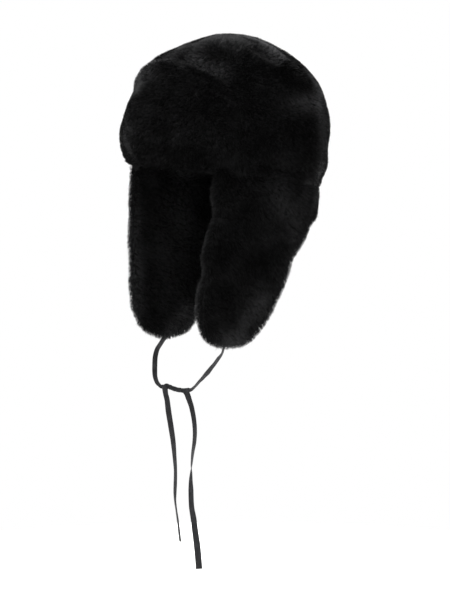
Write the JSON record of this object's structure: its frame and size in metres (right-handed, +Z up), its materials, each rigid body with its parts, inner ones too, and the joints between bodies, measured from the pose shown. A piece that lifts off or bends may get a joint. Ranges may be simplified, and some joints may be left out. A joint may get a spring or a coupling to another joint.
{
  "type": "fur trapper hat",
  "caption": "Fur trapper hat with a turned-up peak, ear flaps joined round the nape, and flat ties in a loose half knot.",
  "frame": {"origin": "middle of the head opening, at the crown's rim", "axes": "+Z up through the crown, -Y towards the peak and the wearer's face, +X towards the wearer's left"},
  "size_m": [0.21, 0.2448, 0.6223],
  "materials": {
    "fur": "short dense black pile with a faint sheen",
    "lace": "flat matt black lace"
  },
  "bodies": {
    "root": {"crown": "fur", "peak": "fur", "ear_and_nape_flap": "fur", "left_tie": "lace", "right_tie": "lace"}
  },
  "joints": []
}
